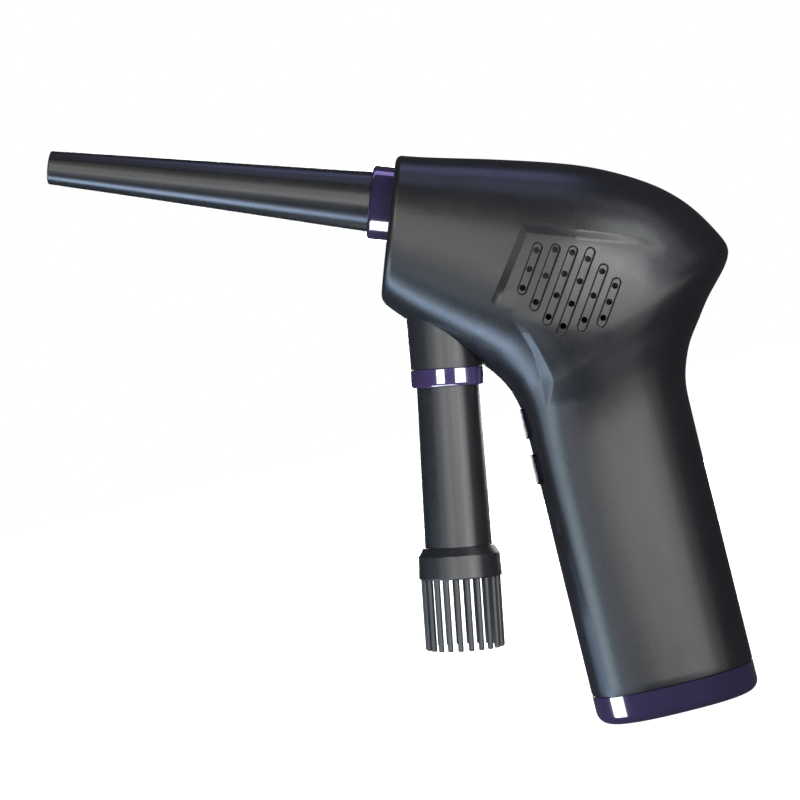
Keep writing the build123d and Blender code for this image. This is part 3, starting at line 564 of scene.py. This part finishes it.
# ---------------------------------------------------------------- stage
bm = bmesh.new()
bmesh.ops.create_grid(bm, x_segments=8, y_segments=8, size=6.0)
floor_me = bpy.data.meshes.new("floor")
bm.to_mesh(floor_me)
bm.free()
floor = bpy.data.objects.new("floor", floor_me)
floor.location = (0, 0, -0.0004)
scene.collection.objects.link(floor)
fm, ft, fb = nodes_of("pale_floor")
fco = ft.nodes.new("ShaderNodeTexCoord").outputs["Object"]
ft.links.new(ramp(ft, noise(ft, fco, 3.0), [(0.3, (0.88, 0.88, 0.88)), (0.7, (0.9, 0.9, 0.9))]), fb.inputs["Base Color"])
fb.inputs["Roughness"].default_value = 0.9
fb.inputs["Specular IOR Level"].default_value = 0.1
floor_me.materials.append(fm)
fb.inputs["Emission Color"].default_value = (1, 1, 1, 1)
fb.inputs["Emission Strength"].default_value = 1.0
floor.visible_glossy = False
floor.visible_diffuse = False
floor.visible_shadow = False

world = bpy.data.worlds.new("studio")
scene.world = world
world.use_nodes = True
wt = world.node_tree
wt.nodes.clear()
wo = wt.nodes.new("ShaderNodeOutputWorld")
mix = wt.nodes.new("ShaderNodeMixShader")
path = wt.nodes.new("ShaderNodeLightPath")
soft, white = wt.nodes.new("ShaderNodeBackground"), wt.nodes.new("ShaderNodeBackground")
soft.inputs["Color"].default_value = (0.85, 0.88, 1.0, 1)
soft.inputs["Strength"].default_value = 0.06
white.inputs["Color"].default_value = (1, 1, 1, 1)
white.inputs["Strength"].default_value = 1.0
wt.links.new(path.outputs["Is Camera Ray"], mix.inputs["Fac"])
wt.links.new(soft.outputs["Background"], mix.inputs[1])
wt.links.new(white.outputs["Background"], mix.inputs[2])
wt.links.new(mix.outputs["Shader"], wo.inputs["Surface"])

AIM = Vector((-0.02, 0, 0.105))


def receivers(name, names, state):
    """Pieces that a light reaches ("INCLUDE") or passes by ("EXCLUDE")."""
    c = bpy.data.collections.new(name)
    for n in names.split():
        c.objects.link({"casing_left": left, "casing_right": right}.get(n) or nodes[n])
    for o in c.collection_objects:
        o.light_linking.link_state = state
    return c


def area(name, width, height, radiance, colour, loc, x, y, z, reach):
    li = bpy.data.lights.new(name, "AREA")
    li.shape = "RECTANGLE"
    li.size, li.size_y = width, height
    li.energy = radiance * math.pi * width * height
    li.color = colour
    ob = bpy.data.objects.new(name, li)
    scene.collection.objects.link(ob)
    ob.matrix_world = Matrix(((x.x, y.x, z.x, loc.x), (x.y, y.y, z.y, loc.y), (x.z, y.z, z.z, loc.z), (0, 0, 0, 1)))
    ob.visible_camera = False
    ob.light_linking.receiver_collection = reach
    return ob


def softbox(name, azimuth, elevation, dist, width, height, radiance, colour=(1, 1, 1), reach=None):
    """Rectangular light; azimuth counts from the camera to the right, elevation upwards, both in the camera's frame."""
    az, el = math.radians(azimuth), math.radians(elevation)
    z = (BACK * math.cos(az) + RIGHT * math.sin(az)) * math.cos(el) + UP * math.sin(el)
    x = UP.cross(z)
    x = x.normalized() if x.length > 0.1 else RIGHT.copy()
    return area(name, width, height, radiance, colour, AIM + z * dist, x, z.cross(x), z, reach)


def panel(name, azimuth, dist, low, high, width, radiance, colour=(1, 1, 1), reach=None):
    """Upright light at that azimuth; low and high are heights along the camera's up direction."""
    az = math.radians(azimuth)
    z = BACK * math.cos(az) + RIGHT * math.sin(az)
    return area(name, width, high - low, radiance, colour, RIGHT * -0.045 + UP * ((low + high) / 2) + z * dist,
                UP.cross(z).normalized(), UP, z, reach)


# soft light on the satin mouldings: azimuth, elevation, red, green, blue
SOFT = [
    (-70, -65, 6.2, 8.5, 11.8), (-50, -65, 1.7, 1.8, 2.6), (-90, -45, 3.7, 5.0, 6.8), (-70, -45, 1.05, 1.25, 1.4),
    (-110, -25, 1.0, 1.4, 2.1), (-90, -25, 2.0, 2.5, 3.2), (-70, -25, 4.2, 5.2, 6.0), (-50, -25, 1.2, 1.5, 1.85),
    (-30, -25, 1.2, 1.25, 1.4), (-50, -5, 1.4, 1.4, 1.5), (-30, -5, 1.55, 1.6, 1.6), (-10, -5, 2.8, 2.8, 2.75),
    (10, -5, 3.2, 3.3, 3.3), (30, -5, 3.1, 3.1, 3.1), (50, -5, 0.9, 0.9, 0.9), (30, -25, 0.7, 0.7, 0.7),
    (-30, 15, 3.7, 3.5, 3.2), (10, 15, 8.0, 8.0, 8.0), (30, 15, 1.1, 1.15, 1.3), (-30, 35, 1.45, 1.35, 1.3),
    (30, 35, 4.4, 4.6, 4.6), (50, 35, 0.9, 0.9, 1.0), (50, 55, 0.85, 0.9, 1.0), (0, 75, 0.6, 0.65, 1.15),
    (180, 80, 0.75, 0.8, 1.65), (10, -65, 1.4, 1.8, 1.8), (70, -65, 1.2, 1.2, 1.2), (180, -65, 3.0, 3.5, 3.5),
    (-10, 15, 1.7, 1.65, 1.6),
]
satin = receivers("not_gloss", USE["trim"] + " " + USE["key"], "EXCLUDE")
for k, (az, el, *rgb) in enumerate(SOFT):
    top = max(rgb)
    softbox("soft_%02d" % k, az, el, 1.0, 0.36, 0.36, top, [v / top for v in rgb], satin)

# the brush tool and its stub catch two upright bands
tools = receivers("tools", "inlet_spout brush_tube brush_head bristles", "INCLUDE")
panel("tool_left", -23, 0.95, -0.25, 0.45, 0.42, 1.5, reach=tools)
panel("tool_right", 40, 0.95, -0.25, 0.60, 0.50, 3.2, reach=tools)
softbox("nozzle_band", -8, -13, 1.0, 0.9, 0.26, 1.6, reach=receivers("long_tool", "nozzle", "INCLUDE"))

# narrow bars and a plain fill for the glossy rings and foot
collars = receivers("collars", "front_collar spout_collar", "INCLUDE")
lower_ring = receivers("lower_ring", "spout_collar", "INCLUDE")
foot = receivers("foot", "base_cap", "INCLUDE")
gloss = receivers("gloss", USE["trim"] + " " + USE["key"], "INCLUDE")
panel("bar_left", -23, 0.95, -0.03, 0.45, 0.42, 8.0, reach=lower_ring)
panel("bar_right", 40, 0.95, 0.08, 0.60, 0.60, 8.0, reach=lower_ring)
panel("bar_foot", -75, 0.80, -0.62, -0.02, 0.52, 8.0, (0.90, 0.95, 1.0), foot)
softbox("bar_under", -25, -78, 0.80, 0.7, 0.5, 7.0, (0.85, 0.92, 1.0), collars)
softbox("bar_top", 180, 80, 0.80, 1.2, 0.24, 1.9, (0.50, 0.36, 1.0), collars)
fill = softbox("gloss_fill", 8, 10, 1.3, 1.4, 1.2, 1.9, reach=gloss)
fill.visible_glossy = False
# the far side has a broad box of its own straight behind
behind = receivers("not_near_half", "casing_left", "EXCLUDE")
softbox("far_side", 180, 8, 1.1, 0.60, 0.60, 11.0, reach=behind)
softbox("rear_side", 146, 12, 1.1, 0.36, 0.50, 2.4, reach=behind)

scene.view_settings.view_transform = "Standard"
scene.view_settings.look = "None"
